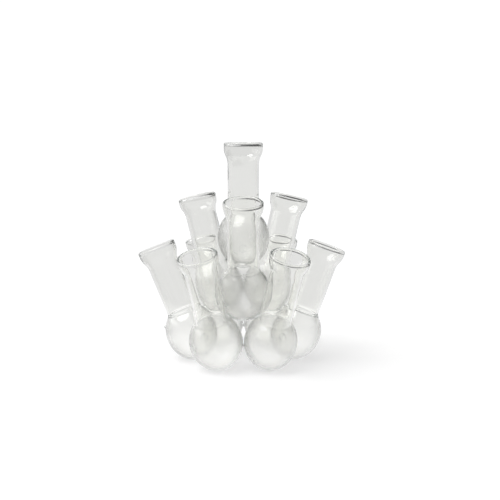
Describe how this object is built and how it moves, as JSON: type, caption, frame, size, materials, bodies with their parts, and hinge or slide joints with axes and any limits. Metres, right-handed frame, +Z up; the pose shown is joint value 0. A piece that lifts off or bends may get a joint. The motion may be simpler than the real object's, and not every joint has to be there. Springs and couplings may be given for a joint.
{
  "type": "glass cluster bud vase",
  "caption": "Clear blown-glass cluster vase: round-bottomed vessels with flared mouths, fused in a leaning base ring, a middle tier and an upright top.",
  "frame": {"origin": "on the floor plane, on the top vessel's axis, which is the cluster's axis", "axes": "+Z up along the top vessel's axis; -Y is the front, where the picture looks from; +X is the right as seen from the front"},
  "size_m": [0.2072, 0.1834, 0.2181],
  "materials": {
    "vessel_glass": "clear, fire-polished, faintly green at the thick lips",
    "joint_glass": "clear, melted"
  },
  "bodies": {
    "root": {"base_back_left_bulb": "vessel_glass", "base_back_left_neck": "vessel_glass", "base_back_right_bulb": "vessel_glass", "base_back_right_neck": "vessel_glass", "base_front_left_bulb": "vessel_glass", "base_front_left_neck": "vessel_glass", "base_front_right_bulb": "vessel_glass", "base_front_right_neck": "vessel_glass", "base_left_bulb": "vessel_glass", "base_left_neck": "vessel_glass", "base_right_bulb": "vessel_glass", "base_right_neck": "vessel_glass", "joint_base_back": "joint_glass", "joint_base_front": "joint_glass", "joint_base_left_back": "joint_glass", "joint_base_left_front": "joint_glass", "joint_base_right_back": "joint_glass", "joint_base_right_front": "joint_glass", "joint_middle_back": "joint_glass", "joint_middle_left": "joint_glass", "joint_middle_right": "joint_glass", "joint_seat_back_left": "joint_glass", "joint_seat_back_right": "joint_glass", "joint_seat_front_left": "joint_glass", "joint_seat_front_right": "joint_glass", "joint_seat_left": "joint_glass", "joint_seat_right": "joint_glass", "joint_top_back_left": "joint_glass", "joint_top_back_right": "joint_glass", "joint_top_front": "joint_glass", "middle_back_left_bulb": "vessel_glass", "middle_back_left_neck": "vessel_glass", "middle_back_right_bulb": "vessel_glass", "middle_back_right_neck": "vessel_glass", "middle_front_bulb": "vessel_glass", "middle_front_neck": "vessel_glass", "pip_left": "joint_glass", "top_bulb": "vessel_glass", "top_neck": "vessel_glass"}
  },
  "joints": []
}
